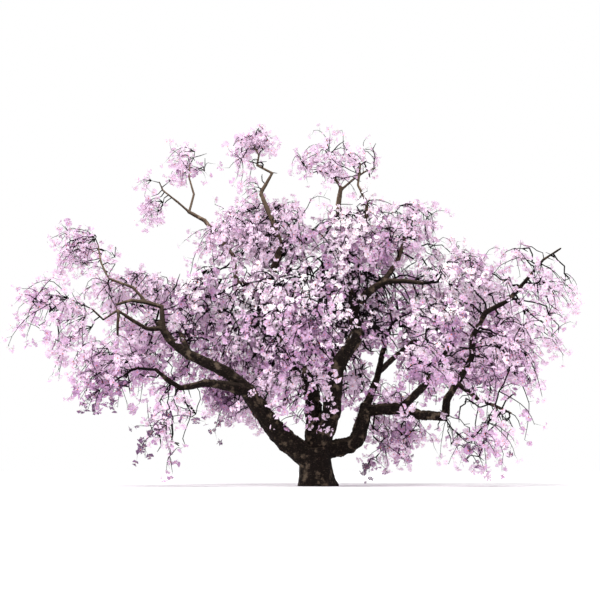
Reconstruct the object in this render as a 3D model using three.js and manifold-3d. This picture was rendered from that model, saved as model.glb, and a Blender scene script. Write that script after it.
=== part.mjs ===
// A weeping cherry in bloom: a short forked trunk, its stems and boughs, and its masses of blossom.
// Millimetres, +Z up, +X along the crown's longest reach. The origin is the middle of the flat cut
// under the trunk, at ground level.

import * as THREE from 'three';
import { mergeVertices } from 'three/addons/utils/BufferGeometryUtils.js';
import Module from 'manifold-3d';

const wasm = await Module();
wasm.setup();

const gap = 1; // clear space between neighbouring solids
const groundBlock = 2000; // side of the block that cuts the trunk flat at ground level

const trunk = {
  points: [[30, 0, -250], [0, 0, 0], [-20, 0, 350], [-50, 0, 720]],
  radius: [330, 300], // at the ground without the flare, and at the fork
  flare: { reach: 75, height: 170, lobes: 5, share: 0.45 }, // roots spread at the foot
  sides: 16,
  ringsPerPoint: 3,
};

const limbSides = { stout: 7, slim: 5 };
const stoutRadius = 100; // limbs at least this thick at their base get the stout section
const ringsPerReach = 2; // rings along each straight reach of a stout limb; a slim one has one

const lumps = { waves: 5, light: 0.14, ragged: 0.26 }; // unevenness of a mass above and below
const broadMass = 2700; // a mass at least this wide gets the finer ball

// Each limb leaves its parent at a share of the parent's length. A reach is a length, a bearing
// from +X and a climb, in degrees; radius is at the base and the tip.
const limbs = [
  { name: 'left_stem', from: 'trunk', at: 0.73, radius: [245, 156],
    reaches: [[670, -164, 35], [650, -160, 47], [660, -158, 53]] },
  { name: 'left_low_bough', from: 'left_stem', at: 0.96, radius: [125, 34],
    reaches: [[480, -139, 10], [530, -145, 6], [520, -150, -12], [630, -146, 32]] },
  { name: 'left_high_bough', from: 'left_stem', at: 0.98, radius: [135, 68],
    reaches: [[540, -172, 40], [780, 176, 25], [460, 164, 37], [450, 169, 54]] },
  { name: 'left_elbow_bough', from: 'left_high_bough', at: 0.92, radius: [66, 28],
    reaches: [[440, 178, 86], [310, -168, 15], [300, -172, 6], [290, -170, -18]] },
  { name: 'left_far_bough', from: 'left_high_bough', at: 0.93, radius: [52, 20],
    reaches: [[310, -150, -4], [310, -158, 27], [370, -160, 32], [340, -152, -35], [330, -165, 42]] },
  { name: 'left_hanging_bough', from: 'left_far_bough', at: 0.58, radius: [38, 14],
    reaches: [[330, -100, -80], [330, -60, -84], [330, -120, -75]] },
  { name: 'left_back_bough', from: 'left_high_bough', at: 0.59, radius: [70, 29],
    reaches: [[930, 107, 32], [1070, 110, 27], [980, 120, 20]] },
  { name: 'left_crown_sprig', from: 'left_elbow_bough', at: 0.56, radius: [38, 16],
    reaches: [[390, 173, 48], [510, -176, 20], [370, 152, 61], [380, 145, 77]] },
  { name: 'middle_stem', from: 'trunk', at: 0.86, radius: [205, 117],
    reaches: [[610, 96, 79], [780, 124, 83], [860, 136, 75]] },
  { name: 'middle_left_bough', from: 'middle_stem', at: 1, radius: [105, 78],
    reaches: [[600, 155, 67], [580, 171, 56], [290, 170, 9]] },
  { name: 'high_left_bough', from: 'middle_left_bough', at: 0.98, radius: [75, 39],
    reaches: [[540, 174, 14], [590, 132, 77], [920, 175, 51], [380, -163, 26]] },
  { name: 'high_left_tip', from: 'high_left_bough', at: 0.99, radius: [30, 16],
    reaches: [[310, -144, 33], [390, -152, 33], [200, -126, 53]] },
  { name: 'high_left_sprig', from: 'high_left_bough', at: 0.99, radius: [30, 16],
    reaches: [[400, 48, 71], [380, 156, 72], [320, 85, 72]] },
  { name: 'crown_left_bough', from: 'middle_left_bough', at: 0.96, radius: [85, 46],
    reaches: [[590, -58, 48], [440, -60, 57], [460, -137, 63], [630, -167, 67]] },
  { name: 'crown_left_sprig', from: 'crown_left_bough', at: 1, radius: [44, 15],
    reaches: [[450, -24, 57], [330, -171, 26], [200, -54, 71], [230, -157, 56]] },
  { name: 'centre_stem', from: 'trunk', at: 0.86, radius: [205, 117],
    reaches: [[860, -26, 66], [870, 19, 83], [590, 13, 57], [320, 22, 67]] },
  { name: 'right_high_bough', from: 'centre_stem', at: 0.99, radius: [128, 40],
    reaches: [[350, 178, 75], [430, -11, 53], [470, -7, 34], [750, -16, -5]] },
  { name: 'crown_right_bough', from: 'right_high_bough', at: 0.18, radius: [80, 49],
    reaches: [[880, 96, 66], [860, 146, 73], [570, 170, 88], [390, 0, 81]] },
  { name: 'crown_right_sprig', from: 'crown_right_bough', at: 0.99, radius: [35, 16],
    reaches: [[260, -160, 56], [290, -141, 74], [280, -157, 63]] },
  { name: 'crown_right_arm', from: 'crown_right_bough', at: 0.97, radius: [30, 16],
    reaches: [[330, -11, 40], [290, -23, 29], [250, -25, 14]] },
  { name: 'crown_back_sprig', from: 'crown_right_bough', at: 0.42, radius: [60, 19],
    reaches: [[720, -40, 50], [610, -88, 60], [390, -152, 59], [430, -61, 75]] },
  { name: 'upper_right_bough', from: 'right_high_bough', at: 0.59, radius: [65, 19],
    reaches: [[610, 43, 46], [410, 37, 66], [430, 0, 70], [370, 17, 63]] },
  { name: 'right_stem', from: 'trunk', at: 0.93, radius: [185, 136],
    reaches: [[560, 16, 9], [340, 28, 23], [370, 39, 64], [400, 44, 69]] },
  { name: 'right_low_bough', from: 'right_stem', at: 0.92, radius: [125, 88],
    reaches: [[620, -16, 4], [540, -34, -14], [530, -23, -5]] },
  { name: 'right_inner_bough', from: 'right_stem', at: 0.99, radius: [90, 29],
    reaches: [[710, 61, 49], [620, 56, 67], [640, 26, 70], [330, 0, 33]] },
  { name: 'right_arm', from: 'right_low_bough', at: 0.99, radius: [90, 53],
    reaches: [[330, -7, 84], [580, -9, 58], [370, -17, 60], [390, 21, 89]] },
  { name: 'right_far_bough', from: 'right_arm', at: 0.98, radius: [66, 20],
    reaches: [[560, 0, 62], [500, -4, 28], [560, -2, 48], [480, 0, 50], [420, 0, 33]] },
  { name: 'right_hanging_bough', from: 'right_arm', at: 0.42, radius: [55, 21],
    reaches: [[620, -45, -33], [450, -45, -19], [350, -39, -23]] },
  { name: 'front_bough', from: 'middle_stem', at: 0.47, radius: [95, 39],
    reaches: [[990, -106, 26], [1030, -108, 23], [820, -94, 10]] },
  { name: 'front_right_bough', from: 'right_low_bough', at: 0.42, radius: [90, 39],
    reaches: [[910, -60, 27], [820, -73, 28], [880, -78, 20]] },
  { name: 'back_bough', from: 'middle_stem', at: 0.56, radius: [105, 39],
    reaches: [[1140, 77, 34], [1210, 77, 32], [1010, 83, 27]] },
  { name: 'back_left_bough', from: 'middle_stem', at: 0.86, radius: [90, 34],
    reaches: [[1140, 116, 27], [1200, 121, 29], [900, 121, 25]] },
  { name: 'back_right_bough', from: 'right_inner_bough', at: 0.39, radius: [70, 29],
    reaches: [[910, 62, 24], [1050, 57, 25], [810, 54, 22]] },
];

// A mass of blossom: its widths and how far it reaches above and below its middle. Its tone runs
// from 0, the palest, to 1, the most mauve.
const masses = [
  { name: 'heart_mass', centre: [300, 400, 3540], wide: 3000, deep: 2300, up: 1090, down: 1330,
    tone: 1 },
  { name: 'crown_left_mass', centre: [-1150, 350, 4850], wide: 2400, deep: 2600, up: 770, down: 1070,
    tone: 0.4 },
  { name: 'crown_right_mass', centre: [700, 400, 4880], wide: 2000, deep: 2600, up: 790, down: 1090,
    tone: 0.5 },
  { name: 'inner_left_mass', centre: [-2100, 600, 3480], wide: 2000, deep: 2500, up: 930, down: 1140,
    tone: 0.6 },
  { name: 'right_shoulder_mass', centre: [2600, 300, 3880], wide: 2000, deep: 2800, up: 870, down: 1210,
    tone: 0.4 },
  { name: 'front_mass', centre: [-450, -2100, 3180], wide: 1650, deep: 2500, up: 740, down: 1030,
    tone: 0.8 },
  { name: 'front_right_mass', centre: [1900, -2200, 2690], wide: 1700, deep: 2600, up: 680, down: 940,
    tone: 0.8 },
  { name: 'back_mass', centre: [550, 2800, 3440], wide: 2350, deep: 2800, up: 1290, down: 1780,
    tone: 0.7 },
  { name: 'back_left_mass', centre: [-1400, 2500, 3250], wide: 2100, deep: 2800, up: 1440, down: 1990,
    tone: 0.6 },
  { name: 'back_right_mass', centre: [3000, 2550, 3390], wide: 2700, deep: 2700, up: 1180, down: 1630,
    tone: 0.6 },
  { name: 'left_back_mass', centre: [-3200, 1850, 3220], wide: 2150, deep: 2500, up: 960, down: 1320,
    tone: 0.5 },
  { name: 'left_shoulder_mass', centre: [-3650, 450, 3610], wide: 1600, deep: 1900, up: 750, down: 920,
    tone: 0.3 },
  { name: 'left_tip_mass', centre: [-4750, -1300, 3270], wide: 1500, deep: 2200, up: 610, down: 1140,
    tone: 0.2 },
  { name: 'left_curtain_mass', centre: [-3700, -1500, 2310], wide: 1300, deep: 2000, up: 470, down: 880,
    tone: 0.5 },
  { name: 'left_low_mass', centre: [-2700, -1600, 1290], wide: 1100, deep: 1800, up: 650, down: 1200,
    tone: 0.6 },
  { name: 'front_hanging_mass', centre: [-300, -900, 1900], wide: 1700, deep: 1100, up: 700, down: 900,
    tone: 0.5 },
  { name: 'left_sprig_mass', centre: [-4450, 250, 4580], wide: 1250, deep: 1700, up: 490, down: 500,
    tone: 0.1 },
  { name: 'high_left_tip_mass', centre: [-3050, 300, 5770], wide: 750, deep: 1100, up: 450, down: 680,
    tone: 0.1 },
  { name: 'high_left_top_mass', centre: [-2450, 900, 6500], wide: 1150, deep: 1200, up: 360, down: 310,
    tone: 0 },
  { name: 'crown_left_top_mass', centre: [-1250, -400, 6530], wide: 950, deep: 1500, up: 480, down: 890,
    tone: 0 },
  { name: 'crown_right_top_mass', centre: [500, 100, 6420], wide: 2000, deep: 1900, up: 520, down: 640,
    tone: 0.1 },
  { name: 'upper_right_mass', centre: [1850, 350, 5070], wide: 1150, deep: 1900, up: 590, down: 890,
    tone: 0.2 },
  { name: 'right_tip_mass', centre: [4200, -200, 3850], wide: 1750, deep: 2100, up: 1080, down: 1250,
    tone: 0.2 },
  { name: 'right_curtain_mass', centre: [3250, -700, 2500], wide: 1800, deep: 2200, up: 590, down: 880,
    tone: 0.6 },
  { name: 'right_low_mass', centre: [3000, -1000, 1200], wide: 1950, deep: 2200, up: 620, down: 1010,
    tone: 0.6 },
  { name: 'right_skirt_mass', centre: [1550, 500, 1320], wide: 1500, deep: 1900, up: 780, down: 1170,
    tone: 0.9 },
];

const barkMaterial = { color: 0x2e2523, roughness: 0.9, metalness: 0 };
const blossomMaterial = { pale: 0xf3e4ef, mauve: 0xb58fae, roughness: 0.8, metalness: 0 };

// Solids -----------------------------------------------------------------------------------------

function toManifold(geometry) {
  const bare = geometry.clone();
  bare.deleteAttribute('normal');
  bare.deleteAttribute('uv');
  const merged = mergeVertices(bare, 1e-3);
  return new wasm.Manifold(new wasm.Mesh({
    numProp: 3,
    vertProperties: new Float32Array(merged.attributes.position.array),
    triVerts: new Uint32Array(merged.index.array),
  }));
}

function toGeometry(solid) {
  const mesh = solid.getMesh();
  const geometry = new THREE.BufferGeometry();
  geometry.setAttribute('position', new THREE.BufferAttribute(new Float32Array(mesh.vertProperties), 3));
  geometry.setIndex(new THREE.BufferAttribute(new Uint32Array(mesh.triVerts), 1));
  return geometry;
}

function largestBody(solid) {
  const bodies = solid.decompose();
  return bodies.reduce((best, body) => (body.volume() > best.volume() ? body : best));
}

// Bends a closed cylinder along a path. radiusAt takes the share along the path and the angle round
// it; grow widens the tube and lengthens both of its ends.
function bendTube(path, radiusAt, sides, rings, grow) {
  const tube = new THREE.CylinderGeometry(1, 1, 1, sides, rings);
  const centres = [];
  const turns = [];
  const turn = new THREE.Quaternion();
  let along = new THREE.Vector3(0, 1, 0);
  for (let ring = 0; ring <= rings; ring += 1) {
    const tangent = path.getTangent(ring / rings);
    turn.premultiply(new THREE.Quaternion().setFromUnitVectors(along, tangent));
    along = tangent;
    const endGrowth = ring === 0 ? -grow : (ring === rings ? grow : 0);
    centres.push(path.getPoint(ring / rings).addScaledVector(tangent, endGrowth));
    turns.push(turn.clone());
  }
  const position = tube.attributes.position;
  const vertex = new THREE.Vector3();
  for (let i = 0; i < position.count; i += 1) {
    vertex.fromBufferAttribute(position, i);
    const share = vertex.y + 0.5;
    const ring = Math.round(share * rings);
    const radius = radiusAt(share, Math.atan2(vertex.z, vertex.x)) + grow;
    vertex.set(vertex.x * radius, 0, vertex.z * radius).applyQuaternion(turns[ring]).add(centres[ring]);
    position.setXYZ(i, vertex.x, vertex.y, vertex.z);
  }
  return toManifold(tube);
}

function reachVector([length, bearing, climb]) {
  const level = Math.cos(THREE.MathUtils.degToRad(climb)) * length;
  const heading = THREE.MathUtils.degToRad(bearing);
  const rise = Math.sin(THREE.MathUtils.degToRad(climb)) * length;
  return new THREE.Vector3(Math.cos(heading) * level, Math.sin(heading) * level, rise);
}

function kinkedPath(points) {
  return new THREE.CatmullRomCurve3(points, false, 'centripetal');
}

// Trunk and limbs --------------------------------------------------------------------------------

const trunkPath = kinkedPath(trunk.points.map((point) => new THREE.Vector3(...point)));

function trunkSolid(grow) {
  const { radius, flare } = trunk;
  const radiusAt = (share, angle) => {
    const height = Math.max(trunkPath.getPoint(share).z, 0);
    const lobe = 1 + flare.share * Math.cos(flare.lobes * angle);
    const spread = flare.reach * lobe * Math.exp(-height / flare.height);
    return THREE.MathUtils.lerp(radius[0], radius[1], share) + spread;
  };
  const rings = trunk.ringsPerPoint * (trunk.points.length - 1);
  const whole = bendTube(trunkPath, radiusAt, trunk.sides, rings, grow);
  const block = new THREE.BoxGeometry(groundBlock, groundBlock, groundBlock);
  block.translate(0, 0, -groundBlock / 2 - grow);
  return whole.subtract(toManifold(block));
}

function limbPath(row, parentPath) {
  const points = [parentPath.getPointAt(row.at)];
  row.reaches.forEach((reach) => points.push(points.at(-1).clone().add(reachVector(reach))));
  return kinkedPath(points);
}

function limbSolid(row, path, grow) {
  const stout = row.radius[0] >= stoutRadius;
  const radiusAt = (share) => THREE.MathUtils.lerp(row.radius[0], row.radius[1], share);
  const rings = row.reaches.length * (stout ? ringsPerReach : 1);
  return bendTube(path, radiusAt, stout ? limbSides.stout : limbSides.slim, rings, grow);
}

// Masses -----------------------------------------------------------------------------------------

// A repeatable run of numbers from 0 to 1.
function randomRun(seed) {
  let state = seed * 2654435761 % 4294967296;
  return () => {
    state = (state * 1664525 + 1013904223) % 4294967296;
    return state / 4294967296;
  };
}

function lumpyBall(seed, fineness) {
  const random = randomRun(seed);
  const waves = [];
  for (let i = 0; i < lumps.waves; i += 1) {
    const heading = new THREE.Vector3(random() - 0.5, random() - 0.5, random() - 0.5).normalize();
    waves.push({ heading: heading.multiplyScalar(2.5 + 3 * random()), phase: Math.PI * 2 * random() });
  }
  const ball = new THREE.IcosahedronGeometry(1, fineness);
  const position = ball.attributes.position;
  const vertex = new THREE.Vector3();
  for (let i = 0; i < position.count; i += 1) {
    vertex.fromBufferAttribute(position, i);
    const depth = THREE.MathUtils.lerp(lumps.light, lumps.ragged, (1 - vertex.z) / 2);
    const swell = waves.reduce((sum, wave) => sum + Math.sin(wave.heading.dot(vertex) * 2 + wave.phase), 0);
    vertex.multiplyScalar(1 + depth * swell / Math.sqrt(lumps.waves));
    position.setXYZ(i, vertex.x, vertex.y, vertex.z);
  }
  return ball;
}

// Stretches a lumpy ball to exactly the mass's named sizes.
function massSolid(row, seed, grow) {
  const ball = lumpyBall(seed, row.wide < broadMass ? 1 : 2);
  ball.computeBoundingBox();
  const { min, max } = ball.boundingBox;
  const low = new THREE.Vector3(-row.wide / 2, -row.deep / 2, -row.down).addScalar(-grow);
  const high = new THREE.Vector3(row.wide / 2, row.deep / 2, row.up).addScalar(grow);
  const scale = high.clone().sub(low).divide(max.clone().sub(min));
  ball.translate(-min.x, -min.y, -min.z);
  ball.scale(scale.x, scale.y, scale.z);
  ball.translate(low.x + row.centre[0], low.y + row.centre[1], low.z + row.centre[2]);
  return toManifold(ball);
}

// Assembly ---------------------------------------------------------------------------------------

const tree = new THREE.Group();

function addNode(name, solid, material) {
  const mesh = new THREE.Mesh(toGeometry(solid), material);
  mesh.name = name;
  tree.add(mesh);
}

function blossomColour(tone) {
  return new THREE.Color(blossomMaterial.pale).lerp(new THREE.Color(blossomMaterial.mauve), tone);
}

const bark = new THREE.MeshStandardMaterial(barkMaterial);
addNode('trunk', trunkSolid(0), bark);

const paths = { trunk: trunkPath };
let taken = trunkSolid(gap); // all earlier solids, grown by the gap
for (const row of limbs) {
  const path = limbPath(row, paths[row.from]);
  paths[row.name] = path;
  addNode(row.name, largestBody(limbSolid(row, path, 0).subtract(taken)), bark);
  taken = taken.add(limbSolid(row, path, gap));
}

masses.forEach((row, index) => {
  const { roughness, metalness } = blossomMaterial;
  const material = new THREE.MeshStandardMaterial({ color: blossomColour(row.tone), roughness, metalness });
  addNode(row.name, largestBody(massSolid(row, index + 1, 0).subtract(taken)), material);
  taken = taken.add(massSolid(row, index + 1, gap));
});

export default tree;
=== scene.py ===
import math

import bmesh
import bpy
import numpy as np
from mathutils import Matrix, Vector, noise
from mathutils.bvhtree import BVHTree
from mathutils.kdtree import KDTree


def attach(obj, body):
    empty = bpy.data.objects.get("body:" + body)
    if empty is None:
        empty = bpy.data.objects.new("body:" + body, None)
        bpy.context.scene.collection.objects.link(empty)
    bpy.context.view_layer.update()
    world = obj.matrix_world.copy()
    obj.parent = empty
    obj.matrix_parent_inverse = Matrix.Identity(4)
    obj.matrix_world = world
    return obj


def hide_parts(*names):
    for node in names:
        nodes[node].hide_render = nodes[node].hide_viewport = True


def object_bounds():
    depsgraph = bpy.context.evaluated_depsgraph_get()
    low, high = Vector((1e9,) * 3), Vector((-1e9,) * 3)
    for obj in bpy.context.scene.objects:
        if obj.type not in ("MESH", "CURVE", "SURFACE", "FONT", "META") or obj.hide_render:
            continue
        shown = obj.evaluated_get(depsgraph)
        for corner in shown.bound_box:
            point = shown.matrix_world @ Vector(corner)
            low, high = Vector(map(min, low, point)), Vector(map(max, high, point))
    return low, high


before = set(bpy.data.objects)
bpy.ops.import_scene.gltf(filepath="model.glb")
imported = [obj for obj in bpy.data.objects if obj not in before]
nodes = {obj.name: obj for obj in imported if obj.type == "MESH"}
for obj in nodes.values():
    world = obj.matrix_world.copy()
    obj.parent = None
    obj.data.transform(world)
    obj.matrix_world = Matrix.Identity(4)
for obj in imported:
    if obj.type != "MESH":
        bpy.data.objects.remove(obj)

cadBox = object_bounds()
massNames = sorted(name for name in nodes if name.endswith("_mass"))
limbNames = sorted(name for name in nodes if not name.endswith("_mass"))
rng = np.random.default_rng(468)
down = np.array([0.0, 0.0, -1.0])


# small helpers for arrays and meshes

def unit(vectors):
    lengths = np.linalg.norm(vectors, axis=-1, keepdims=True)
    return vectors / np.maximum(lengths, 1e-9)


def nodeArrays(name):  # a node's corners and triangles, with shared corners merged
    data = bmesh.new()
    data.from_mesh(nodes[name].data)
    bmesh.ops.remove_doubles(data, verts=data.verts, dist=1e-5)
    bmesh.ops.triangulate(data, faces=data.faces)
    corners = np.array([vert.co for vert in data.verts])
    triangles = np.array([[vert.index for vert in face.verts] for face in data.faces])
    data.free()
    return corners, triangles


def joined(parts):  # one pair of arrays from several
    offsets = np.cumsum([0] + [len(corners) for corners, _ in parts[:-1]])
    allCorners = np.vstack([corners for corners, _ in parts])
    allTriangles = np.vstack([faces + offset for (_, faces), offset in zip(parts, offsets)])
    return allCorners, allTriangles


def treeOf(corners, triangles):
    return BVHTree.FromPolygons(corners.tolist(), triangles.tolist())


def makePiece(name, corners, triangles, materials, slotOfFace=None, smooth=False):
    mesh = bpy.data.meshes.new(name)
    mesh.vertices.add(len(corners))
    mesh.vertices.foreach_set("co", np.asarray(corners, np.float32).ravel())
    mesh.loops.add(triangles.size)
    mesh.loops.foreach_set("vertex_index", np.asarray(triangles, np.int32).ravel())
    mesh.polygons.add(len(triangles))
    mesh.polygons.foreach_set("loop_start", np.arange(len(triangles), dtype=np.int32) * 3)
    for material in materials:
        mesh.materials.append(material)
    if slotOfFace is not None:
        mesh.polygons.foreach_set("material_index", np.asarray(slotOfFace, np.int32))
    mesh.update(calc_edges=True)
    mesh.polygons.foreach_set("use_smooth", np.full(len(triangles), smooth))
    piece = bpy.data.objects.new(name, mesh)
    bpy.context.scene.collection.objects.link(piece)
    return piece


# materials

class Wire:  # a socket that takes part in sums
    def __init__(self, tree, socket):
        self.tree = tree
        self.socket = socket

    def math(self, operation, other, flip=False):
        node = self.tree.nodes.new("ShaderNodeMath")
        node.operation = operation
        sides = (other, self) if flip else (self, other)
        for socket, side in zip(node.inputs, sides):
            join(self.tree, socket, side)
        return Wire(self.tree, node.outputs[0])

    def __add__(self, other):
        return self.math("ADD", other)

    __radd__ = __add__

    def __sub__(self, other):
        return self.math("SUBTRACT", other)

    def __rsub__(self, other):
        return self.math("SUBTRACT", other, flip=True)

    def __mul__(self, other):
        return self.math("MULTIPLY", other)

    __rmul__ = __mul__


def join(tree, socket, value):
    if isinstance(value, Wire):
        tree.links.new(value.socket, socket)
    elif isinstance(value, tuple) and len(value) == 3 and socket.type == "RGBA":
        socket.default_value = (*value, 1)
    else:
        socket.default_value = value


class Finish:  # a material under construction
    def __init__(self, name):
        self.material = bpy.data.materials.new(name)
        self.material.use_nodes = True
        self.tree = self.material.node_tree
        self.shader = self.tree.nodes["Principled BSDF"]

    def node(self, kind, settings=None, **sockets):
        node = self.tree.nodes.new("ShaderNode" + kind)
        for key, value in (settings or {}).items():
            if key == "stops":
                setStops(node.color_ramp, value)
            else:
                setattr(node, key, value)
        for key, value in sockets.items():
            join(self.tree, node.inputs[key.replace("_", " ")], value)
        return Wire(self.tree, node.outputs[0])

    def axis(self, vector, row=2):  # one part of a vector, the upward one unless told
        node = self.tree.nodes.new("ShaderNodeSeparateXYZ")
        join(self.tree, node.inputs[0], vector)
        return Wire(self.tree, node.outputs[row])

    def clamped(self, wire):
        wire.socket.node.use_clamp = True
        return wire

    def mix(self, share, first, second):
        node = self.tree.nodes.new("ShaderNodeMix")
        node.data_type = "RGBA"
        join(self.tree, node.inputs[0], share)
        join(self.tree, node.inputs[6], first)
        join(self.tree, node.inputs[7], second)
        return Wire(self.tree, node.outputs[2])

    def surface(self, **sockets):
        for key, value in sockets.items():
            join(self.tree, self.shader.inputs[key.replace("_", " ")], value)
        return self.material


def setStops(ramp, stops):
    for element, (place, shade) in zip(ramp.elements, stops):
        element.position = place
        element.color = (shade, shade, shade, 1)


def colour(code):  # a linear colour from a web code
    parts = [int(code[i:i + 2], 16) / 255 for i in (0, 2, 4)]
    return tuple(c / 12.92 if c <= 0.04045 else ((c + 0.055) / 1.055) ** 2.4 for c in parts)


# the tan colours the lichen patches and lenticels, and it is also painted light on the limbs' upper sides,
# more so high up
barkFinish = {"dark": "090605", "brown": "1c1411", "tanPatchesAndPaintedLight": "94806c", "patchScale": 6.5,
              "lenticelScale": 22.0, "lenticelSquash": 5.0, "grainScale": 55.0, "bump": 0.8, "gloss": 0.12,
              "patchStops": [(0.55, 0.0), (0.66, 1.0)], "streakStops": [(0.6, 0.0), (0.72, 1.0)],
              "paintedLightFrom": 3.2, "paintedLightReach": 2.2, "paintedLightTurn": 0.2, "paintedLightBase": 0.6, "paintedLightOnTop": 0.35,
              "faintPaintedLightOnTop": 0.18, "faintPaintedLightLoss": 0.06, "paintedLightCover": 0.75, "patchBase": 0.55, "patchPaintedLight": 1.6,
              "streakBase": 0.3, "streakPaintedLight": 0.4, "grainRelief": 0.5, "lenticelRelief": 0.5,
              "patchRelief": 0.4, "reliefDepth": 0.02, "rough": 0.95, "patchSmooth": 0.2}
# petal tints from near white to deep mauve; the deeper ones also paint the shade inside and under the crown
blossomTintsWithPaintedShade = ["fdf8fc", "f5e7f2", "e9d2e6", "d3b0d0", "b088ae", "745575"]
# painted glow: the petals give out a little light in their own colour, which lifts their shaded sides
petalPaintedGlow = 0.08


def barkMaterial():
    make = Finish("oldCherryBark")
    place = make.tree.nodes.new("ShaderNodeTexCoord")
    here = Wire(make.tree, place.outputs["Object"])
    flat = make.node("Mapping", None, Vector=here, Scale=(1.0, 1.0, barkFinish["lenticelSquash"]))
    patches = make.node("TexNoise", None, Vector=here, Scale=barkFinish["patchScale"], Detail=6.0)
    lenticels = make.node("TexNoise", None, Vector=flat, Scale=barkFinish["lenticelScale"], Detail=3.0)
    grain = make.node("TexNoise", None, Vector=here, Scale=barkFinish["grainScale"], Detail=5.0)
    patchMask = make.node("ValToRGB", {"stops": barkFinish["patchStops"]}, Fac=patches)
    streakMask = make.node("ValToRGB", {"stops": barkFinish["streakStops"]}, Fac=lenticels)
    # painted light: tan laid over the upward-facing sides of the limbs, more so high up, as their sunlit
    # tops; patches and lenticel streaks also grow stronger there
    upward = make.axis(Wire(make.tree, make.tree.nodes.new("ShaderNodeNewGeometry").outputs["Normal"]))
    level = make.axis(here) - make.axis(here, 0) * barkFinish["paintedLightTurn"]
    high = make.clamped((level - barkFinish["paintedLightFrom"]) * (1 / barkFinish["paintedLightReach"]))
    paintedLightByFacing = upward * barkFinish["paintedLightOnTop"] + barkFinish["paintedLightBase"]
    faintPaintedTopLight = upward * barkFinish["faintPaintedLightOnTop"] - barkFinish["faintPaintedLightLoss"]
    paintedTopLight = make.clamped(high * paintedLightByFacing + faintPaintedTopLight)
    patchAmountWithPaintedLight = paintedTopLight * barkFinish["patchPaintedLight"] + barkFinish["patchBase"]
    patchAndPaintedLightShare = make.clamped(paintedTopLight * barkFinish["paintedLightCover"] + patchMask * grain * patchAmountWithPaintedLight)
    streakShareWithPaintedLight = streakMask * (paintedTopLight * barkFinish["streakPaintedLight"] + barkFinish["streakBase"])
    base = make.mix(grain, colour(barkFinish["dark"]), colour(barkFinish["brown"]))
    patchedAndPaintedLight = make.mix(patchAndPaintedLightShare, base, colour(barkFinish["tanPatchesAndPaintedLight"]))
    shade = make.mix(streakShareWithPaintedLight, patchedAndPaintedLight, colour(barkFinish["tanPatchesAndPaintedLight"]))
    relief = grain * barkFinish["grainRelief"] + lenticels * barkFinish["lenticelRelief"]
    relief = relief + patches * barkFinish["patchRelief"]
    bump = make.node("Bump", None, Height=relief, Strength=barkFinish["bump"],
                     Distance=barkFinish["reliefDepth"])
    roughness = barkFinish["rough"] - patchMask * barkFinish["patchSmooth"]
    make.surface(Base_Color=shade, Roughness=roughness, Normal=bump)
    return make.surface(Specular_IOR_Level=barkFinish["gloss"])


def plainMaterial(name, code, roughness, paintedGlow=0.0, gloss=0.25):
    make = Finish(name)
    rgb = colour(code)
    make.surface(Base_Color=rgb, Roughness=roughness, Specular_IOR_Level=gloss)
    # a painted glow in the material's own colour
    if paintedGlow:
        make.surface(Emission_Color=rgb, Emission_Strength=paintedGlow)
    return make.material


woodMaterial = barkMaterial()
twigMaterial = plainMaterial("twigBark", "0e0a0a", 0.85, gloss=0.1)
petalMaterials = [plainMaterial(f"petalPaintedShadeTint{i}", code, 0.6, petalPaintedGlow) for i, code in enumerate(blossomTintsWithPaintedShade)]
heartMaterial = plainMaterial("blossomHeart", "ee6a2c", 0.6)
stalkMaterial = plainMaterial("blossomStalk", "6d5a48", 0.7)
print("materials made")


# limb cores: points along the middle of every limb, with the radius there

cores = {"samplesPerLimb": 260, "cell": 0.11}


def limbCores():
    points, radii = [], []
    for name in limbNames:
        if name == "trunk":
            continue
        corners, triangles = nodeArrays(name)
        solid = treeOf(corners, triangles)
        a, b, c = (corners[triangles[:, i]] for i in range(3))
        area = np.linalg.norm(np.cross(b - a, c - a), axis=1)
        picks = rng.choice(len(triangles), cores["samplesPerLimb"], p=area / area.sum())
        u, v = rng.random((2, len(picks), 1))
        over = (u + v) > 1
        u, v = np.where(over, 1 - u, u), np.where(over, 1 - v, v)
        spots = a[picks] + (b - a)[picks] * u + (c - a)[picks] * v
        inward = -unit(np.cross(b - a, c - a))[picks]
        found = {}
        for spot, ray in zip(spots, inward):
            hit = solid.ray_cast(Vector(spot + ray * 1e-3), Vector(ray))
            if hit[0] is None:
                continue
            middle = spot + ray * (hit[3] / 2)
            cell = tuple(np.floor(middle / cores["cell"]).astype(int))
            found.setdefault(cell, []).append((*middle, hit[3] / 2))
        for group in found.values():
            if len(group) > 1:
                mean = np.mean(group, axis=0)
                points.append(mean[:3])
                radii.append(mean[3])
    return np.array(points), np.array(radii)


corePoints, coreRadii = limbCores()
print("limb cores", len(corePoints))


# trunk, stems and boughs in one piece of bark with its relief

bark = {"voxel": 0.012, "rounds": 22, "pull": 0.5, "push": -0.52, "thickest": 0.3,
        "coarse": 0.16, "coarseScale": (6, 6, 3), "coarseNoise": (0.7, 2.1, 3),
        "fine": 0.07, "fineScale": (26, 26, 9), "fineOctaves": 3,
        "faces": 150000, "sink": 0.1, "foot": 0.001}


def meshFrom(piece):  # the mesh that a piece's modifiers make
    graph = bpy.context.evaluated_depsgraph_get()
    return bpy.data.meshes.new_from_object(piece.evaluated_get(graph))


def applyModifier(piece, kind, **settings):
    modifier = piece.modifiers.new(kind.lower(), kind)
    for key, value in settings.items():
        setattr(modifier, key, value)
    piece.data = meshFrom(piece)
    piece.modifiers.clear()


def readCorners(mesh):
    corners = np.empty(len(mesh.vertices) * 3, np.float32)
    mesh.vertices.foreach_get("co", corners)
    return corners.reshape(-1, 3).astype(float)


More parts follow.
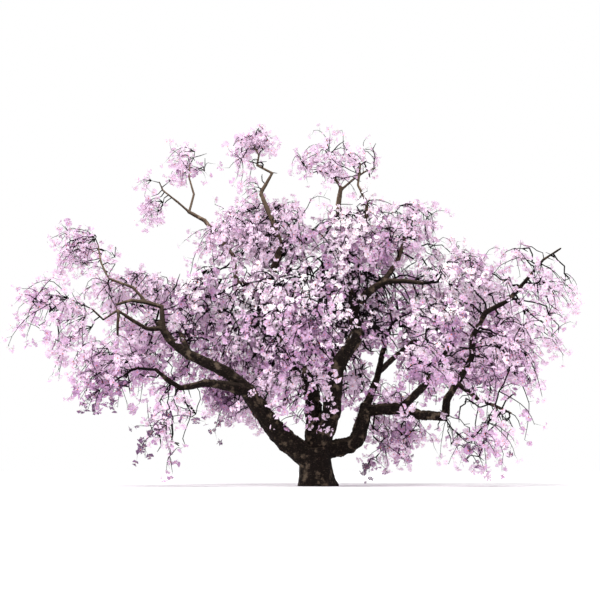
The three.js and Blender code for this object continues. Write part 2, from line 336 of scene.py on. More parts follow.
def smoothed(corners, edges, rounds):  # rounds off the facets without thinning the limbs
    counts = np.bincount(edges.ravel(), minlength=len(corners))[:, None]
    for turn in range(rounds * 2):
        total = np.zeros_like(corners)
        for axis in range(3):
            total[:, axis] += np.bincount(edges[:, 0], corners[edges[:, 1], axis], len(corners))
            total[:, axis] += np.bincount(edges[:, 1], corners[edges[:, 0], axis], len(corners))
        pull = bark["pull"] if turn % 2 == 0 else bark["push"]
        corners = corners + pull * (total / np.maximum(counts, 1) - corners)
    return corners


def makeBark():
    corners, triangles = joined([nodeArrays(name) for name in limbNames])
    corners[corners[:, 2] < 1e-3, 2] = -bark["sink"]  # the foot runs on below until it is cut flat
    piece = makePiece("trunk_and_boughs", corners, triangles, [woodMaterial], smooth=True)
    applyModifier(piece, "REMESH", mode="VOXEL", voxel_size=bark["voxel"])
    mesh = piece.data
    edges = np.empty(len(mesh.edges) * 2, np.int32)
    mesh.edges.foreach_get("vertices", edges)
    corners = smoothed(readCorners(mesh), edges.reshape(-1, 2), bark["rounds"])
    mesh.vertices.foreach_set("co", corners.astype(np.float32).ravel())
    mesh.update()
    normals = np.empty(len(mesh.vertices) * 3, np.float32)
    mesh.vertex_normals.foreach_get("vector", normals)
    index = KDTree(len(corePoints))
    for i, point in enumerate(corePoints):
        index.insert(point, i)
    index.balance()
    girth = np.array([min(bark["thickest"], coreRadii[index.find(corner)[1]]) for corner in corners])
    lumps = np.array([noise.fractal(Vector(corner * bark["coarseScale"]), *bark["coarseNoise"])
                      for corner in corners])
    ridges = np.array([noise.turbulence(Vector(corner * bark["fineScale"]), bark["fineOctaves"], True)
                       for corner in corners])
    lift = girth * (lumps * bark["coarse"] + (ridges - 0.5) * bark["fine"])
    corners += normals.reshape(-1, 3) * lift[:, None]
    mesh.vertices.foreach_set("co", corners.astype(np.float32).ravel())
    mesh.update()
    share = bark["faces"] / (2 * len(mesh.polygons))
    if share < 1:
        applyModifier(piece, "DECIMATE", ratio=share)
    data = bmesh.new()
    data.from_mesh(piece.data)
    cut = bmesh.ops.bisect_plane(data, geom=data.verts[:] + data.edges[:] + data.faces[:],
                                 plane_co=(0, 0, bark["foot"]), plane_no=(0, 0, 1), clear_inner=True)
    rim = [item for item in cut["geom_cut"] if isinstance(item, bmesh.types.BMEdge)]
    bmesh.ops.holes_fill(data, edges=rim)
    data.to_mesh(piece.data)
    data.free()
    piece.data.polygons.foreach_set("use_smooth", np.ones(len(piece.data.polygons), bool))
    if not piece.data.materials:
        piece.data.materials.append(woodMaterial)
    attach(piece, "root")
    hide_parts(*limbNames)
    return piece


trunkPiece = makeBark()
print("bark", len(trunkPiece.data.polygons))


# the crown's masses, as a space to fill

crown = {"pointsPerVolume": 52, "margin": 0.05,
         "density": {"left_tip_mass": 0.4, "left_curtain_mass": 0.65, "left_sprig_mass": 0.7,
                     "left_low_mass": 0.7, "high_left_tip_mass": 1.2, "high_left_top_mass": 1.9,
                     "crown_left_top_mass": 1.4, "crown_right_top_mass": 1.1, "crown_left_mass": 1.3,
                     "crown_right_mass": 1.3, "heart_mass": 2.6, "front_mass": 0.9, "front_right_mass": 0.55,
                     "front_hanging_mass": 1.3, "right_tip_mass": 0.55, "right_curtain_mass": 0.6,
                     "right_low_mass": 0.6, "right_skirt_mass": 0.8, "back_mass": 0.9,
                     "back_left_mass": 0.9}}

massArrays = {name: nodeArrays(name) for name in massNames}
crownSurface = treeOf(*joined([massArrays[name] for name in massNames]))


def depthInside(point):  # how far a point is inside the crown's masses, negative outside
    spot, normal, _, distance = crownSurface.find_nearest(Vector(point))
    return distance if (Vector(point) - spot).dot(normal) < 0 else -distance


def volumeOf(corners, triangles):
    a, b, c = (corners[triangles[:, i]] for i in range(3))
    return np.einsum("ij,ij->i", a, np.cross(b, c)).sum() / 6


def fillMass(name):
    corners, triangles = massArrays[name]
    solid = treeOf(corners, triangles)
    wanted = int(volumeOf(corners, triangles) * crown["pointsPerVolume"] * crown["density"].get(name, 1.0))
    low, high = corners.min(0), corners.max(0)
    kept = []
    while len(kept) < wanted:
        point = Vector(rng.uniform(low, high))
        spot, normal, _, distance = solid.find_nearest(point)
        if (point - spot).dot(normal) < 0 and distance > crown["margin"] * rng.random():
            kept.append(point[:])
    return np.array(kept)


# boughs that grow on from the limbs towards the space of the masses

growth = {"step": 0.15, "stepRange": (0.75, 1.25), "apart": 0.5, "forks": 3, "reach": 2.2, "arrive": 0.2,
          "rounds": 80, "kink": 0.26, "lift": 0.14, "liftFor": 5, "sag": 0.08, "thickest": 0.11,
          "tipRadius": 0.0105, "forkPower": 2.1, "outside": 0.16}


def growBoughs():
    filled = [fillMass(name) for name in massNames]
    targets = np.vstack(filled)
    owner = np.repeat(np.arange(len(massNames)), [len(points) for points in filled])
    seeds = corePoints[coreRadii < growth["thickest"]]
    seedRadii = coreRadii[coreRadii < growth["thickest"]]
    points = [np.array(seed) for seed in seeds]
    parents = [-1] * len(seeds)
    masses = [-1] * len(seeds)
    ages = [0] * len(seeds)
    children = {}
    nearest = np.zeros(len(targets), int)
    distance = np.full(len(targets), np.inf)

    def compare(fresh, offset):
        gaps = np.linalg.norm(targets[:, None] - fresh[None], axis=2)
        best = gaps.argmin(1)
        closer = gaps[np.arange(len(targets)), best] < distance
        nearest[closer] = best[closer] + offset
        distance[closer] = gaps[np.arange(len(targets)), best][closer]

    compare(seeds, 0)
    alive = np.ones(len(targets), bool)
    for _ in range(growth["rounds"]):
        pulling = np.flatnonzero(alive & (distance < growth["reach"]))
        if not len(pulling):
            break
        fresh = []
        order = pulling[np.argsort(nearest[pulling], kind="stable")]
        for group in np.split(order, np.flatnonzero(np.diff(nearest[order])) + 1):
            parent = nearest[group[0]]
            heading = unit(targets[group] - points[parent]).sum(0)
            drift = growth["lift"] if ages[parent] < growth["liftFor"] else -growth["sag"]
            wobble = rng.normal(size=3) * growth["kink"]
            heading = unit(unit(heading) + wobble + np.array([0, 0, drift]))
            place = points[parent] + heading * growth["step"] * rng.uniform(*growth["stepRange"])
            taken = children.setdefault(parent, [])
            stray = ages[parent] > 0 and depthInside(place) < -growth["outside"]
            closest = growth["step"] * growth["apart"]
            crowded = any(np.linalg.norm(place - points[i]) < closest for i in taken)
            if stray or crowded or len(taken) >= growth["forks"]:
                alive[group] = len(taken) < 1
                continue
            taken.append(len(points))
            fresh.append(place)
            points.append(place)
            parents.append(parent)
            masses.append(owner[group[len(group) // 2]])
            ages.append(ages[parent] + 1)
        if not fresh:
            break
        compare(np.array(fresh), len(points) - len(fresh))
        alive &= distance > growth["arrive"]
    return np.array(points), np.array(parents), np.array(masses), seedRadii


boughPoints, boughParents, boughMasses, seedRadii = growBoughs()
print("bough points", len(boughPoints))


def boughThickness():  # each fork is as thick as what it carries
    carried = np.zeros(len(boughPoints))
    tips = np.ones(len(boughPoints), bool)
    tips[boughParents[boughParents >= 0]] = False
    power = growth["forkPower"]
    for i in range(len(boughPoints) - 1, -1, -1):
        if tips[i]:
            carried[i] = growth["tipRadius"] ** power
        if boughParents[i] >= 0:
            carried[boughParents[i]] += carried[i]
    return carried ** (1 / power), tips


boughRadii, boughTips = boughThickness()


def sweep(path, radii, sides):  # a tube along a path, left open at its ends
    along = unit(np.gradient(path, axis=0))
    side = unit(np.cross(along[0], [0.3, 0.5, 0.81]))
    rings = []
    angles = np.arange(sides) * 2 * math.pi / sides
    for point, direction, radius in zip(path, along, radii):
        side = unit(side - direction * side.dot(direction))
        other = np.cross(direction, side)
        rings.append(point + radius * (np.cos(angles)[:, None] * side + np.sin(angles)[:, None] * other))
    corners = np.vstack(rings)
    faces = []
    for ring in range(len(path) - 1):
        for i in range(sides):
            a, b = ring * sides + i, ring * sides + (i + 1) % sides
            faces += [(a, b, b + sides), (a, b + sides, a + sides)]
    return corners, np.array(faces)


def boughChains():  # the longest runs first, each side branch starting on its parent
    mainChild = {}
    for i, parent in enumerate(boughParents):
        if parent >= 0 and (parent not in mainChild or boughRadii[i] > boughRadii[mainChild[parent]]):
            mainChild[parent] = i
    for i, parent in enumerate(boughParents):
        startsHere = parent >= 0 and (mainChild[parent] != i or boughParents[parent] < 0)
        if not startsHere:
            continue
        chain = [i]
        while chain[-1] in mainChild:
            chain.append(mainChild[chain[-1]])
        yield parent, chain


# the grown boughs' shape: at a limb they are slimmer than it; sides by the least radius that has them
boughs = {"swell": 1.15, "besideLimb": 0.85, "tip": 0.5, "sides": [(0.03, 6), (0.014, 5), (0.0, 4)]}


def makeBoughs():
    parts = []
    for parent, chain in boughChains():
        path = boughPoints[[parent] + chain]
        radii = boughRadii[chain]
        radii = np.concatenate([[radii[0] * boughs["swell"]], radii])
        if boughParents[parent] < 0:
            radii = np.minimum(radii, boughs["besideLimb"] * seedRadii[parent])
        radii[-1] *= boughs["tip"]
        sides = next(count for least, count in boughs["sides"] if radii[0] > least)
        parts.append(sweep(path, radii, sides))
    corners, triangles = joined(parts)
    piece = makePiece("grown_boughs", corners, triangles, [twigMaterial], smooth=True)
    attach(piece, "root")
    return piece


boughPiece = makeBoughs()
print("grown boughs", len(boughPiece.data.polygons))


# openings in the crown: middle and half size across and up, in metres, and the share of twigs and
# bloom that stays; what is further back than front is left alone
openings = [{"at": (2.81, 2.16), "half": (0.45, 0.82), "front": -0.1, "keep": 0.1},  # right arm
            {"at": (1.84, 1.45), "half": (0.85, 0.3), "front": -0.1, "keep": 0.13},  # right low bough
            {"at": (1.15, 1.5), "half": (0.42, 0.24), "front": 0.35, "keep": 0.13},  # its foot
            {"at": (3.4, 3.4), "half": (0.6, 0.55), "front": -0.1, "keep": 0.27},  # right far bough
            {"at": (0.58, 1.85), "half": (0.36, 0.8), "front": -0.1, "keep": 0.5},  # centre stem
            {"at": (0.76, 3.5), "half": (0.24, 0.3), "front": -0.02, "keep": 0.1},  # right high bough
            {"at": (1.15, 3.84), "half": (0.34, 0.2), "front": -0.05, "keep": 0.13},  # its bend
            {"at": (1.7, 3.93), "half": (0.55, 0.24), "front": -0.12, "keep": 0.22},  # its level end
            {"at": (1.4, 2.7), "half": (0.4, 0.8), "front": 0.2, "keep": 0.6},  # right inner bough
            {"at": (-0.07, 1.3), "half": (0.3, 0.6), "front": 0.0, "keep": 0.4},  # middle stem
            {"at": (-0.65, 1.05), "half": (0.38, 0.3), "front": -0.3, "keep": 0.1},  # foot of the left stem
            {"at": (-1.1, 1.65), "half": (0.36, 0.32), "front": -0.4, "keep": 0.16},  # top of the left stem
            {"at": (-2.2, 2.02), "half": (0.85, 0.2), "front": -0.8, "keep": 0.22},  # left low bough
            {"at": (-1.55, 4.3), "half": (0.35, 0.6), "front": 9.0, "keep": 0.22},  # high left bough
            {"at": (-0.85, 4.45), "half": (0.3, 0.65), "front": -0.1, "keep": 0.27},  # crown left bough
            {"at": (1.75, 4.9), "half": (0.3, 0.6), "front": 0.1, "keep": 0.27},  # upper right bough
            {"at": (-3.43, 3.45), "half": (0.55, 0.36), "front": 0.0, "keep": 0.03},  # left elbow
            {"at": (-3.43, 3.38), "half": (0.36, 0.2), "front": 9.0, "keep": 0.1},  # sky in the elbow
            {"at": (-2.46, 5.95), "half": (0.2, 0.32), "front": 9.0, "keep": 0.06},  # high left sprig
            {"at": (-2.8, 5.64), "half": (0.2, 0.18), "front": 9.0, "keep": 0.13},  # high left tip
            {"at": (-0.95, 6.08), "half": (0.3, 0.42), "front": 9.0, "keep": 0.02},  # crown left sprig
            {"at": (-1.3, 6.42), "half": (0.32, 0.12), "front": 9.0, "keep": 0.06},  # crown left top's foot
            {"at": (0.68, 5.78), "half": (0.42, 0.4), "front": 9.0, "keep": 0.1},  # crown right limbs
            {"at": (0.58, 2.55), "half": (0.15, 0.22), "front": 9.0, "keep": 0.01},  # sky beside the stem
            {"at": (0.58, 1.13), "half": (0.15, 0.2), "front": 9.0, "keep": 0.01},  # sky in the fork
            {"at": (1.06, 2.7), "half": (0.16, 0.2), "front": 9.0, "keep": 0.01}]  # sky by the inner bough


def openAt(points):  # the share to keep at each point
    share = np.ones(len(points))
    for gap in openings:
        across = (points[:, 0] - gap["at"][0]) / gap["half"][0]
        rise = (points[:, 2] - gap["at"][1]) / gap["half"][1]
        inside = (across ** 2 + rise ** 2 < 1) & (points[:, 1] < gap["front"])
        share = np.where(inside, np.minimum(share, gap["keep"]), share)
    return share


# sprays: a few twigs from one point that arch out together and hang

twigs = {"sprays": 1570, "inSpray": (3, 5), "joints": 7, "shortest": 0.32, "longest": 1.05,
         "uneven": (0.7, 1.15), "tipWeight": 4.0, "along": 0.4, "outward": 0.75, "outwardRise": 0.2,
         "scatter": 0.4, "fan": 0.62, "lift": 0.36, "weep": 0.4, "weepFirst": 0.4, "weepGrowth": 0.9,
         "stray": 0.17,
         "baseRadius": 0.01, "tipRadius": 0.0042, "sides": 3, "slimmest": 0.03,
         "overhang": 0.12, "overhangRange": (-0.6, 1.0), "longShare": 0.15, "longOverhang": 3.0,
         "fewest": 3, "lowest": 0.1, "edge": 0.09,
         "trailing": {"left_tip_mass": 1.6, "right_tip_mass": 1.5, "front_hanging_mass": 1.2,
                      "left_curtain_mass": 1.3, "front_mass": 1.3, "right_low_mass": 1.5,
                      "left_low_mass": 1.3, "right_curtain_mass": 1.3, "high_left_tip_mass": 0.7,
                      "high_left_top_mass": 0.7, "crown_left_top_mass": 0.7, "crown_right_top_mass": 0.8},
         "fuller": {"high_left_top_mass": 1.7, "high_left_tip_mass": 1.3, "crown_left_top_mass": 2.8,
                    "crown_right_top_mass": 0.68, "left_sprig_mass": 1.15, "front_right_mass": 0.6,
                    "front_hanging_mass": 1.5, "right_low_mass": 0.65, "left_low_mass": 0.52,
                    "right_tip_mass": 0.42, "right_curtain_mass": 1.6, "left_tip_mass": 0.55,
                    "left_curtain_mass": 1.3, "crown_right_mass": 2.0, "crown_left_mass": 2.0,
                    "right_skirt_mass": 0.9},
         "freer": {"right_tip_mass": 1.5, "left_tip_mass": 2.0, "right_low_mass": 1.5,
                   "right_curtain_mass": 2.0, "front_hanging_mass": 2.0, "left_curtain_mass": 1.5},
         # stouter twigs by mass; in the heart, front and back they are thickened so their near-black bark
         # paints the shadow gaps among the blossom
         "stout": {"heart_mass": 2.35, "front_mass": 1.8, "right_curtain_mass": 1.3, "crown_left_mass": 1.1,
                   "crown_right_mass": 1.4, "front_hanging_mass": 1.2, "inner_left_mass": 1.5,
                   "back_mass": 2.2}}

crownMiddle = np.array([0.0, 0.3, 3.2])  # twigs lean away from it, and blossom deepens


def byMass(settings, fallback=1.0):  # one value for each mass, in the order of their names
    return np.array([settings.get(name, fallback) for name in massNames])


def growTwigs():
    slim = np.flatnonzero((boughParents >= 0) & (boughRadii < twigs["slimmest"]))
    fuller = byMass(twigs["fuller"])[boughMasses[slim]]
    weight = np.where(boughTips[slim], twigs["tipWeight"], 1.0) * fuller
    sprayStarts = rng.choice(slim, twigs["sprays"], p=weight / weight.sum())
    counts = rng.integers(twigs["inSpray"][0], twigs["inSpray"][1] + 1, len(sprayStarts))
    sprays = np.repeat(np.arange(len(sprayStarts)), counts)
    starts = sprayStarts[sprays]
    runs = unit(boughPoints[sprayStarts] - boughPoints[boughParents[sprayStarts]])
    outward = boughPoints[sprayStarts] - crownMiddle
    outward[:, 2] *= twigs["outwardRise"]
    scatter = twigs["scatter"] * rng.normal(size=runs.shape)
    sprayHeading = unit(twigs["along"] * runs + twigs["outward"] * unit(outward) + scatter)
    heading = sprayHeading[sprays] + twigs["fan"] * rng.normal(size=(len(starts), 3))
    heading = unit(heading + [0, 0, twigs["lift"]])
    trailing = byMass(twigs["trailing"])[boughMasses[starts]]
    sprayLengths = rng.uniform(twigs["shortest"], twigs["longest"], len(sprayStarts))
    lengths = sprayLengths[sprays] * rng.uniform(*twigs["uneven"], len(starts)) * trailing
    paths = np.empty((len(starts), twigs["joints"], 3))
    paths[:, 0] = boughPoints[starts]
    for joint in range(1, twigs["joints"]):
        pull = twigs["weep"] * (twigs["weepFirst"] + twigs["weepGrowth"] * joint / twigs["joints"])
        heading = unit(heading + down * pull + rng.normal(size=heading.shape) * twigs["stray"])
        paths[:, joint] = paths[:, joint - 1] + heading * (lengths / (twigs["joints"] - 1))[:, None]
    return starts, sprays, paths


def trimTwigs(starts, sprays, paths):  # a twig ends at an opening or well outside the crown
    kept, rows = [], []
    shares = np.linspace(0, 1, twigs["joints"])
    low = np.array(cadBox[0]) - twigs["edge"]
    high = np.array(cadBox[1]) + twigs["edge"]
    freer = byMass(twigs["freer"])[boughMasses[starts]]
    openShares = openAt(paths.reshape(-1, 3)).reshape(paths.shape[:2])
    for row, path in enumerate(paths):
        chance = rng.random()
        isLong = rng.random() <= twigs["longShare"]
        overhang = twigs["longOverhang"] if isLong else rng.uniform(*twigs["overhangRange"])
        allowed = twigs["overhang"] * freer[row] * overhang
        good = 0
        for point, share in zip(path[1:], openShares[row, 1:]):
            inBox = (point > low).all() and (point < high).all() and point[2] > twigs["lowest"]
            if not inBox or share < chance or depthInside(point) < -allowed:
                break
            good += 1
        if good < twigs["fewest"]:
            continue
        cut = np.linspace(0, good / (twigs["joints"] - 1), twigs["joints"])
        kept.append(np.stack([np.interp(cut, shares, path[:, axis]) for axis in range(3)], axis=1))
        rows.append(row)
    return starts[rows], sprays[rows], np.array(kept)


def makeTwigs(paths):
    count, joints, sides = len(paths), twigs["joints"], twigs["sides"]
    along = unit(np.gradient(paths, axis=1))
    side = unit(np.cross(along, [0.41, 0.9, 0.12]))
    other = np.cross(along, side)
    # thicker twigs where their dark bark paints shade among the blossom
    stout = byMass(twigs["stout"])[boughMasses[twigStarts]]
    radii = np.linspace(twigs["baseRadius"], twigs["tipRadius"], joints)[None, :, None, None]
    radii = radii * stout[:, None, None, None]
    angles = (np.arange(sides) * 2 * math.pi / sides)[None, None, :, None]
    around = np.cos(angles) * side[:, :, None] + np.sin(angles) * other[:, :, None]
    rings = paths[:, :, None] + radii * around
    faces = []
    for ring in range(joints - 1):
        for i in range(sides):
            a, b = ring * sides + i, ring * sides + (i + 1) % sides
            faces += [(a, b, b + sides), (a, b + sides, a + sides)]
    offsets = (np.arange(count) * joints * sides)[:, None, None]
    triangles = (np.array(faces)[None] + offsets).reshape(-1, 3)
    piece = makePiece("weeping_twigs", rings.reshape(-1, 3), triangles, [twigMaterial])
    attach(piece, "root")
    return piece


twigStarts, twigSprays, twigPaths = trimTwigs(*growTwigs())
twigPiece = makeTwigs(twigPaths)
print("twigs", len(twigPaths), len(twigPiece.data.polygons))


# short spurs off the twigs, each ending in a bunch of blossom

spurs = {"spacing": 0.14, "first": 0.12, "last": 0.99, "shift": (-0.03, 0.01), "fewest": 2,
         "shortest": 0.05, "longest": 0.2, "radius": 0.0042, "spread": 0.95, "droop": 0.25,
         "lowest": 0.1, "edge": 0.1,
         "sparse": {"left_tip_mass": 1.1, "right_tip_mass": 1.15, "left_curtain_mass": 1.2, "heart_mass": 1.6,
                    "front_hanging_mass": 1.3, "right_curtain_mass": 1.2, "right_low_mass": 1.1}}


def growSpurs():
    gaps = byMass(spurs["sparse"]) * spurs["spacing"]
    low = np.array(cadBox[0]) - spurs["edge"]
    high = np.array(cadBox[1]) + spurs["edge"]
    feet, tips, twigOf = [], [], []
    for twig, (start, path) in enumerate(zip(twigStarts, twigPaths)):
        length = np.linalg.norm(np.diff(path, axis=0), axis=1).sum()
        count = max(spurs["fewest"], int(round(length / gaps[boughMasses[start]])))
        shares = np.linspace(spurs["first"], spurs["last"], count) + rng.uniform(*spurs["shift"], count)
        for share in shares * (len(path) - 1):
            foot = np.array([np.interp(share, np.arange(len(path)), path[:, axis]) for axis in range(3)])
            along = unit(path[min(int(share) + 1, len(path) - 1)] - path[int(share)])
            heading = unit(along + spurs["spread"] * rng.normal(size=3) - [0, 0, spurs["droop"]])
            tip = foot + heading * rng.uniform(spurs["shortest"], spurs["longest"])
            inBox = (tip > low).all() and (tip < high).all() and tip[2] > spurs["lowest"]
            footShare, tipShare = openAt(np.stack([foot, tip]))
            if inBox and (footShare < 1 or rng.random() < tipShare):  # a twig in an opening keeps its bloom
                feet.append(foot)
                tips.append(tip)
                twigOf.append(twig)
    return np.array(feet), np.array(tips), np.array(twigOf)


def makeSpurs(feet, tips):  # slim three-sided cones
    along = unit(tips - feet)
    side = unit(np.cross(along, [0.37, 0.2, 0.9]))
    other = np.cross(along, side)
    angles = np.arange(3) * 2 * math.pi / 3
    ring = [feet + spurs["radius"] * (math.cos(turn) * side + math.sin(turn) * other) for turn in angles]
    corners = np.stack(ring + [tips], axis=1).reshape(-1, 3)
    faces = np.array([(0, 1, 3), (1, 2, 3), (2, 0, 3)])
    triangles = (faces[None] + (np.arange(len(feet)) * 4)[:, None, None]).reshape(-1, 3)
    piece = makePiece("blossom_spurs", corners, triangles, [twigMaterial])
    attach(piece, "root")
    return piece


spurFeet, spurTips, spurTwigs = growSpurs()
spurPiece = makeSpurs(spurFeet, spurTips)
print("spurs", len(spurFeet), len(spurPiece.data.polygons))


# blossom: bunches at the spurs' tips, each spray in one tint

# the tint terms for inside, below and low down paint shade into the blossom's colour
blossom = {"bunch": (2, 4), "width": 0.112, "unevenness": 0.26, "narrowest": 0.06, "widest": 0.16,
           "stalk": 0.045, "most": 52000, "forward": 0.6, "droop": 0.35, "lowest": 0.08, "around": 0.9,
           "shade": 0.75, "paintedShadeInside": 2.6, "insideFrom": 0.3, "paintedShadeBelow": 2.4, "shadeFar": 1.6,
           "paintedShadeLow": 0.9, "lowFrom": 2.6, "shadeSpread": 1.2, "evenTints": (2, 3), "small": 0.88,
           "tone": {"heart_mass": 1.0, "front_mass": 0.9, "front_right_mass": 0.3, "right_skirt_mass": 0.0,
                    "inner_left_mass": 0.3, "back_right_mass": 0.2, "right_shoulder_mass": -0.2,
                    "crown_right_mass": 0.4, "crown_left_mass": -1.3, "upper_right_mass": -2.0,
                    "high_left_top_mass": -1.4, "high_left_tip_mass": -1.4, "crown_left_top_mass": -1.4,
                    "crown_right_top_mass": -1.3, "left_sprig_mass": -1.3, "right_tip_mass": -1.2,
                    "left_tip_mass": -0.6, "left_shoulder_mass": -0.9, "left_curtain_mass": -0.2,
                    "right_curtain_mass": -0.8, "right_low_mass": -1.0},
           "evenIn": ["high_left_top_mass", "high_left_tip_mass", "crown_left_top_mass",
                      "crown_right_top_mass", "left_sprig_mass", "left_tip_mass", "right_tip_mass"],
           "whiteIn": ["heart_mass", "front_mass", "front_right_mass", "crown_right_mass", "inner_left_mass",
                       "right_shoulder_mass"],
           "smallIn": ["heart_mass", "front_mass", "front_hanging_mass", "crown_left_mass",
                       "inner_left_mass"]}

# lengths in half widths of a flower
petal = {"root": 0.04, "side": 0.92, "notch": 0.84, "liftSway": 0.25, "lengthSway": 0.12}
flowerHeart = {"radius": 0.15, "height": 0.06, "cupShare": 0.2}
stalkFoot = [(0.05, 0.0, 0.0), (-0.05, 0.02, 0.0)]

flowerKinds = [{"petals": 5, "turn": 72, "long": 1.0, "cup": 0.18, "broad": 30, "share": 0.28},
               {"petals": 5, "turn": 72, "long": 0.85, "cup": 0.5, "broad": 30, "share": 0.2},
               {"petals": 3, "turn": 66, "long": 1.1, "cup": 0.4, "broad": 32, "share": 0.3},
               {"petals": 2, "turn": 95, "long": 1.25, "cup": 0.45, "broad": 26, "share": 0.22}]


def flowerShape(kind):  # notched petals, the heart and the stalk
    corners, faces, parts = [], [], []
    for turn in range(kind["petals"]):
        middle = math.radians(turn * kind["turn"])
        lift = kind["cup"] * (1 + petal["liftSway"] * math.sin(turn * 2.4))
        length = kind["long"] * (1 + petal["lengthSway"] * math.sin(turn * 4.1 + 1))
        base = len(corners)
        corners.append((petal["root"] * math.cos(middle), petal["root"] * math.sin(middle), 0.0))
        for side, radius in ((-1, petal["side"]), (0, petal["notch"]), (1, petal["side"])):
            angle = middle + side * math.radians(kind["broad"])
            reach = radius * length
            corners.append((reach * math.cos(angle), reach * math.sin(angle), lift))
        faces += [(base, base + 1, base + 2), (base, base + 2, base + 3)]
        parts += ["petal", "petal"]
    if kind["petals"] > 2:
        base = len(corners)
        radius = flowerHeart["radius"]
        height = flowerHeart["height"] + kind["cup"] * flowerHeart["cupShare"]
        for side in range(4):
            angle = side * math.pi / 2
            corners.append((radius * math.cos(angle), radius * math.sin(angle), height))
        faces += [(base, base + 1, base + 2), (base, base + 2, base + 3)]
        parts += ["heart", "heart"]
    base = len(corners)
    stalkLength = blossom["stalk"] / (blossom["width"] / 2)
    corners += [(0.0, 0.0, -stalkLength), *stalkFoot]
    faces.append((base, base + 1, base + 2))
    parts.append("stalk")
    return np.array(corners), np.array(faces), np.array(parts)


def turnTo(facing, spin):  # rotations that take +Z to each facing direction
    side = unit(np.cross(facing, unit(rng.normal(size=facing.shape))))
    other = np.cross(facing, side)
    c, s = np.cos(spin)[:, None], np.sin(spin)[:, None]
    return np.stack([side * c + other * s, other * c - side * s, facing], axis=2)


def sprayTints():  # painted shade: deeper tints inside the crown, on its undersides and low down, paler on its tops; also deeper towards the crown's edge, by mass and at random by spray
    middles = twigPaths[:, twigs["joints"] // 2]
    index = KDTree(len(middles))
    for i, point in enumerate(middles):
        index.insert(point, i)
    index.balance()
    reach = blossom["around"]
    centres = [np.mean([near[0] for near in index.find_range(point, reach)], axis=0) for point in middles]
    outside = (middles - np.array(centres)) / reach
    halfBox = (np.array(cadBox[1]) - np.array(cadBox[0])) / 2
    far = np.linalg.norm((middles - crownMiddle) / halfBox, axis=1)
    inside = np.clip(blossom["insideFrom"] - np.linalg.norm(outside, axis=1), 0, 1)
    low = np.clip(1 - middles[:, 2] / blossom["lowFrom"], 0, 1)
    # painted shade: deeper inside, on the undersides and low down, paler on the tops
    shade = blossom["shade"] + blossom["paintedShadeInside"] * inside - blossom["paintedShadeBelow"] * outside[:, 2]
    shade += blossom["shadeFar"] * far ** 2 + blossom["paintedShadeLow"] * low
    shade += byMass(blossom["tone"], 0.0)[boughMasses[twigStarts]]
    spread = rng.normal(size=twigSprays.max() + 1) * blossom["shadeSpread"]
    shade += spread[twigSprays]
    even, white = (np.isin(boughMasses[twigStarts], [massNames.index(name) for name in blossom[key]])
                   for key in ("evenIn", "whiteIn"))
    lowest = np.where(white, 0, blossom["evenTints"][0])
    highest = np.where(even, blossom["evenTints"][1], len(blossomTintsWithPaintedShade) - 1)
    return np.clip(np.round(shade), lowest, highest).astype(int)


def placeFlowers():
    counts = rng.integers(blossom["bunch"][0], blossom["bunch"][1] + 1, len(spurTips))
    spur = np.repeat(np.arange(len(spurTips)), counts)
    along = unit(spurTips - spurFeet)[spur]
    facings = unit(rng.normal(size=along.shape) + blossom["forward"] * along - [0, 0, blossom["droop"]])
    tints = sprayTints()[spurTwigs[spur]]
    return spurTips[spur], facings, tints, boughMasses[twigStarts[spurTwigs[spur]]]


def groupOf(name):
    if name.endswith("_top_mass") or name.startswith("crown") or name.startswith("high"):
        return "top"
    if name.startswith("back"):
        return "back"
    if name.startswith("front") or name == "heart_mass":
        return "middle"
    return "left" if "left" in name else "right"


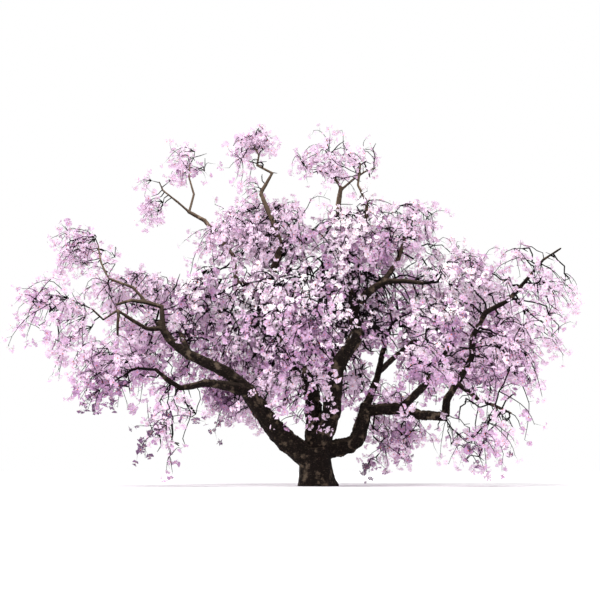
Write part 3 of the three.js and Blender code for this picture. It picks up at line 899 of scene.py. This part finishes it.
def makeBlossom():
    spots, facings, tints, masses = placeFlowers()
    print("flowers wanted", len(spots), "by tint", np.bincount(tints))
    if len(spots) > blossom["most"]:
        kept = np.sort(rng.choice(len(spots), blossom["most"], replace=False))
        spots, facings, tints, masses = spots[kept], facings[kept], tints[kept], masses[kept]
    widths = blossom["width"] * np.exp(rng.normal(size=len(spots)) * blossom["unevenness"])
    small = np.isin(masses, [massNames.index(name) for name in blossom["smallIn"]])
    widths = np.clip(np.where(small, blossom["small"], 1) * widths, blossom["narrowest"], blossom["widest"])
    rotations = turnTo(facings, rng.uniform(0, 2 * math.pi, len(spots)))
    kinds = rng.choice(len(flowerKinds), len(spots), p=[kind["share"] for kind in flowerKinds])
    centres = spots + facings * blossom["stalk"] * (widths / blossom["width"])[:, None]
    standing = centres[:, 2] > blossom["lowest"]
    groups = {}
    for index, name in enumerate(massNames):
        groups.setdefault(groupOf(name), []).append(index)
    slots = petalMaterials + [heartMaterial, stalkMaterial]
    for group, members in groups.items():
        inGroup = np.isin(masses, members) & standing
        parts, slotOfFace = [], []
        for row, kind in enumerate(flowerKinds):
            chosen = np.flatnonzero(inGroup & (kinds == row))
            corners, faces, names = flowerShape(kind)
            scaled = corners[None] * (widths[chosen] / 2)[:, None, None]
            placed = np.einsum("nij,nkj->nki", rotations[chosen], scaled) + centres[chosen][:, None]
            offsets = (np.arange(len(chosen)) * len(corners))[:, None, None]
            parts.append((placed.reshape(-1, 3), (faces[None] + offsets).reshape(-1, 3)))
            slot = np.where(names == "heart", len(blossomTintsWithPaintedShade), len(blossomTintsWithPaintedShade) + 1)
            slot = np.where(names[None] == "petal", tints[chosen][:, None], slot[None])
            slotOfFace.append(slot.ravel())
        corners, triangles = joined(parts)
        piece = makePiece(f"blossom_{group}", corners, triangles, slots, np.concatenate(slotOfFace))
        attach(piece, "root")
        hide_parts(*[massNames[i] for i in members])
        print("blossom", group, len(triangles))


makeBlossom()


# floor, light and camera

studio = {"floor": "fbfafb", "sky": 1.0, "sun": 2.2, "sunTurn": (38, -24, 0), "sunSpread": 25,
          "camera": (-0.32, -28.0, 0.35), "lookAt": (-0.32, 0.0, 3.59), "lens": 87.0,
          "sensor": 36, "farthest": 300, "floorRadius": 90, "floorSides": 96}


def makeStage():
    bpy.ops.mesh.primitive_circle_add(vertices=studio["floorSides"], radius=studio["floorRadius"],
                                      fill_type="NGON")
    floor = bpy.context.object
    floor.name = "floor"
    floor.data.materials.append(plainMaterial("paleFloor", studio["floor"], 0.9))
    world = bpy.data.worlds.new("studio")
    bpy.context.scene.world = world
    world.use_nodes = True
    world.node_tree.nodes["Background"].inputs["Color"].default_value = (1, 1, 1, 1)
    world.node_tree.nodes["Background"].inputs["Strength"].default_value = studio["sky"]
    sun = bpy.data.objects.new("sun", bpy.data.lights.new("sun", "SUN"))
    sun.data.energy = studio["sun"]
    sun.data.angle = math.radians(studio["sunSpread"])
    sun.rotation_euler = [math.radians(turn) for turn in studio["sunTurn"]]
    bpy.context.scene.collection.objects.link(sun)


def makeCamera():
    camera = bpy.data.objects.new("camera", bpy.data.cameras.new("camera"))
    camera.data.lens = studio["lens"]
    camera.data.sensor_width = studio["sensor"]
    camera.data.clip_end = studio["farthest"]
    camera.location = studio["camera"]
    aim = Vector(studio["lookAt"]) - camera.location
    camera.rotation_euler = aim.to_track_quat("-Z", "Y").to_euler()
    bpy.context.scene.collection.objects.link(camera)
    bpy.context.scene.camera = camera


makeStage()
makeCamera()
bpy.context.scene.view_settings.view_transform = "Standard"
print("stage set")
